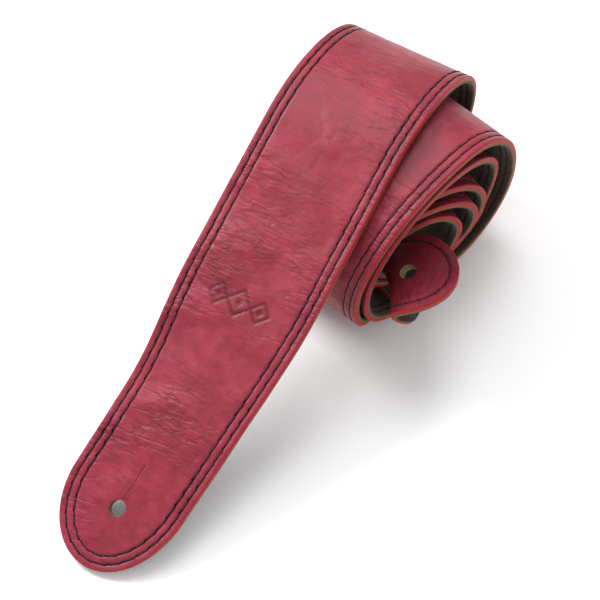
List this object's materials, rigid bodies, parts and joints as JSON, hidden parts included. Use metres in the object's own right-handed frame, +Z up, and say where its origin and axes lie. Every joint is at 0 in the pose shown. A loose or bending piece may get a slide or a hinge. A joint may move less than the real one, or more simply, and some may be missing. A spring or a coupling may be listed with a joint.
{
  "type": "guitar strap",
  "caption": "Leather guitar strap rolled up on its side edge face out, with a stitched wide band, a button tab drawn out in front and a narrow tail tab.",
  "frame": {"origin": "middle of the object's footprint on the table", "axes": "+Y from the front button tab towards the roll, +X to the right of the front run, +Z up"},
  "size_m": [0.1084, 0.2864, 0.0984],
  "materials": {
    "red_grain_leather": "smooth satin grain",
    "brown_suede": "napped suede",
    "dark_thread": "waxed thread"
  },
  "bodies": {
    "roll": {"strap_face_rolled": "red_grain_leather", "strap_backing_rolled": "brown_suede", "tail_face_rolled": "red_grain_leather", "tail_backing_rolled": "brown_suede", "outer_stitch_row_rolled": "dark_thread", "inner_stitch_row_rolled": "dark_thread", "tail_stitch_row_rolled": "dark_thread", "tail_lap_seam": "dark_thread"},
    "front_run": {"strap_face_front_run": "red_grain_leather", "strap_backing_front_run": "brown_suede", "outer_stitch_row_front_run": "dark_thread", "inner_stitch_row_front_run": "dark_thread"},
    "tail_tab": {"tail_face_tab": "red_grain_leather", "tail_backing_tab": "brown_suede", "tail_stitch_row_tab": "dark_thread"}
  },
  "joints": [
    {"name": "front_run_lift", "type": "hinge", "parent": "roll", "child": "front_run", "pos_m": [-0.02139, 0.03596, 0.08569], "axis": [-1, 0, 0], "range_deg": [0, 30]},
    {"name": "tail_tab_flex", "type": "hinge", "parent": "roll", "child": "tail_tab", "pos_m": [0.02424, 0.02954, 0.04385], "axis": [0.5546, -0.8321, 0], "range_deg": [0, 10]}
  ]
}
